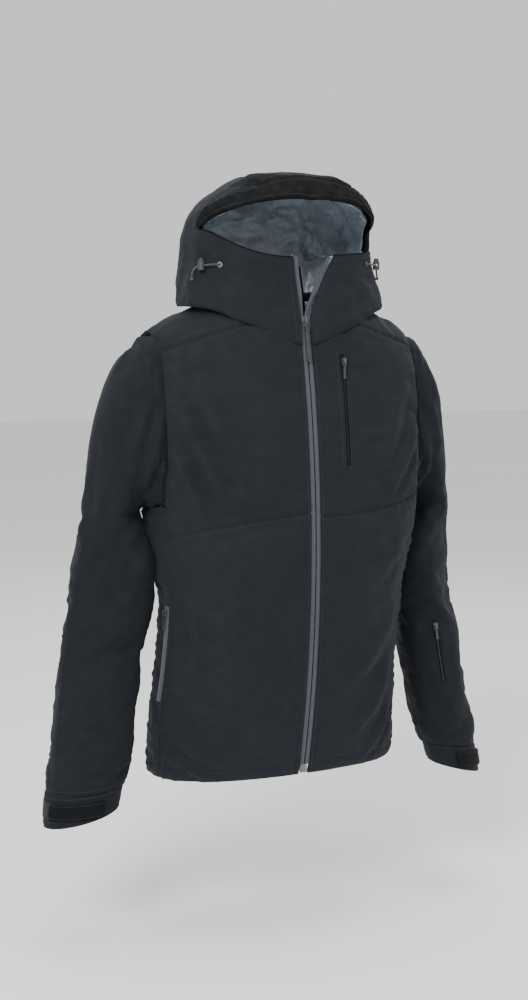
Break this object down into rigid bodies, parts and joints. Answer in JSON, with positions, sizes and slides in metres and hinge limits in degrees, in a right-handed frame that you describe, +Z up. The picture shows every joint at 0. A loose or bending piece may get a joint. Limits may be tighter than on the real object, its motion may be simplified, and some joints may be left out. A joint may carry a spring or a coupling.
{
  "type": "insulated ski jacket",
  "caption": "Insulated ski jacket with a fixed hood, part-open front zip with sliding pull, zipped pockets, bending sleeves and hook-and-loop cuff tabs.",
  "frame": {"origin": "base of the neck, in the middle of the collar, where the jacket rests on the wearer's shoulders", "axes": "+Z up, -Y out of the front, -X towards the wearer's right"},
  "size_m": [0.7728, 0.2521, 0.997],
  "materials": {
    "shell": "matt plain weave",
    "trim": "matt",
    "lining": "satin taffeta",
    "zip_tape": "matt woven tape",
    "coil": "satin",
    "metal": "satin gunmetal",
    "moulded": "satin",
    "cord": "braided",
    "patch": "loop pile"
  },
  "bodies": {
    "torso": {"front_right": "shell", "front_left": "shell", "chest_right": "shell", "chest_left": "shell", "yoke_right": "shell", "yoke_left": "shell", "back_panel": "shell", "side_right": "shell", "side_left": "shell", "body_lining": "lining", "powder_skirt": "trim", "collar_right": "shell", "collar_left": "shell", "collar_back": "shell", "collar_lining": "lining", "hang_loop": "trim", "storm_flap": "trim", "zip_tape_right": "zip_tape", "zip_tape_left": "zip_tape", "zip_coil_right": "coil", "zip_coil_left": "coil", "zip_ends": "metal", "chest_zip": "trim", "hand_zip_right": "zip_tape", "hand_zip_left": "zip_tape", "pocket_bags": "trim", "eyelets": "metal", "hood_cord_right": "cord", "hood_cord_left": "cord", "cord_locks": "moulded"},
    "hood": {"hood_right": "shell", "hood_left": "shell", "hood_crown": "shell", "hood_brim": "trim", "hood_lining": "lining"},
    "front_slider": {"zip_slider": "metal"},
    "front_pull": {"zip_pull": "moulded"},
    "chest_slider": {"chest_zip_slider": "metal"},
    "chest_pull": {"chest_zip_pull": "moulded"},
    "hand_slider_right": {"hand_zip_slider_right": "metal"},
    "hand_pull_right": {"hand_zip_pull_right": "moulded"},
    "lock_press_right": {"lock_button_right": "moulded"},
    "upper_arm_right": {"upper_sleeve_right": "shell"},
    "lower_arm_right": {"forearm_right": "shell", "cuff_right": "shell", "cuff_patch_right": "patch"},
    "tab_right": {"cuff_tab_right": "trim"},
    "hand_slider_left": {"hand_zip_slider_left": "metal"},
    "hand_pull_left": {"hand_zip_pull_left": "moulded"},
    "lock_press_left": {"lock_button_left": "moulded"},
    "upper_arm_left": {"upper_sleeve_left": "shell"},
    "lower_arm_left": {"forearm_left": "shell", "cuff_left": "shell", "cuff_patch_left": "patch", "pass_zip": "trim"},
    "tab_left": {"cuff_tab_left": "trim"},
    "pass_slider": {"pass_zip_slider": "metal"},
    "pass_pull": {"pass_zip_pull": "moulded"}
  },
  "joints": [
    {"name": "front_zip_travel", "type": "hinge", "parent": "torso", "child": "front_slider", "pos_m": [0, 1.35133, -0.39], "axis": [1, 0, 0], "range_deg": [0, 26]},
    {"name": "front_pull_swing", "type": "hinge", "parent": "front_slider", "child": "front_pull", "pos_m": [0, -0.08848, -0.0396], "axis": [-1, 0, 0], "range_deg": [0, 120]},
    {"name": "chest_zip_travel", "type": "hinge", "parent": "torso", "child": "chest_slider", "pos_m": [0, 1.35133, -0.39], "axis": [1, 0, 0], "range_deg": [0, 5.5]},
    {"name": "chest_pull_swing", "type": "hinge", "parent": "chest_slider", "child": "chest_pull", "pos_m": [0.05848, -0.10537, -0.1], "axis": [-0.9848, -0.1736, 0], "range_deg": [0, 110]},
    {"name": "hand_zip_travel_right", "type": "slide", "parent": "torso", "child": "hand_slider_right", "axis": [-0.0692, 0.077, -0.9946], "range_m": [0, 0.115]},
    {"name": "hand_pull_swing_right", "type": "hinge", "parent": "hand_slider_right", "child": "hand_pull_right", "pos_m": [-0.20727, -0.02317, -0.48], "axis": [-0.1045, 0.9945, 0], "range_deg": [0, 110]},
    {"name": "hand_zip_travel_left", "type": "slide", "parent": "torso", "child": "hand_slider_left", "axis": [-0.0425, 0.0719, -0.9965], "range_m": [0, 0.115]},
    {"name": "hand_pull_swing_left", "type": "hinge", "parent": "hand_slider_left", "child": "hand_pull_left", "pos_m": [0.20619, -0.02317, -0.48], "axis": [-0.1045, -0.9945, 0], "range_deg": [0, 110]},
    {"name": "pass_zip_travel", "type": "slide", "parent": "lower_arm_left", "child": "pass_slider", "axis": [0.155, -0.0578, -0.9862], "range_m": [0, 0.085]},
    {"name": "pass_pull_swing", "type": "hinge", "parent": "pass_slider", "child": "pass_pull", "pos_m": [0.27288, -0.02858, -0.538], "axis": [-0.9686, 0.2059, -0.1392], "range_deg": [0, 110]},
    {"name": "hood_tip", "type": "hinge", "parent": "torso", "child": "hood", "pos_m": [0, 0.02, -0.015], "axis": [-1, 0, 0], "range_deg": [0, 25]},
    {"name": "shoulder_right", "type": "hinge", "parent": "torso", "child": "upper_arm_right", "pos_m": [-0.2152, 0.022, -0.2], "axis": [-1, 0, 0], "range_deg": [-20, 45]},
    {"name": "elbow_right", "type": "hinge", "parent": "upper_arm_right", "child": "lower_arm_right", "pos_m": [-0.2748, 0.035, -0.45], "axis": [-1, 0, 0], "range_deg": [0, 80]},
    {"name": "cuff_tab_right", "type": "hinge", "parent": "lower_arm_right", "child": "tab_right", "pos_m": [-0.31236, -0.03908, -0.76653], "axis": [0.1943, 0.0683, 0.9786], "range_deg": [0, 90]},
    {"name": "lock_press_right", "type": "slide", "parent": "torso", "child": "lock_press_right", "axis": [0, 0, -1], "range_m": [0, 0.0022], "stiffness_N_per_m": 250, "springref_m": -0.0015},
    {"name": "shoulder_left", "type": "hinge", "parent": "torso", "child": "upper_arm_left", "pos_m": [0.2152, 0.022, -0.2], "axis": [-1, 0, 0], "range_deg": [-20, 45]},
    {"name": "elbow_left", "type": "hinge", "parent": "upper_arm_left", "child": "lower_arm_left", "pos_m": [0.2748, 0.035, -0.45], "axis": [-1, 0, 0], "range_deg": [0, 80]},
    {"name": "cuff_tab_left", "type": "hinge", "parent": "lower_arm_left", "child": "tab_left", "pos_m": [0.31236, -0.03908, -0.76653], "axis": [0.1943, -0.0683, -0.9786], "range_deg": [0, 90]},
    {"name": "lock_press_left", "type": "slide", "parent": "torso", "child": "lock_press_left", "axis": [0, 0, -1], "range_m": [0, 0.0022], "stiffness_N_per_m": 250, "springref_m": -0.0015}
  ]
}
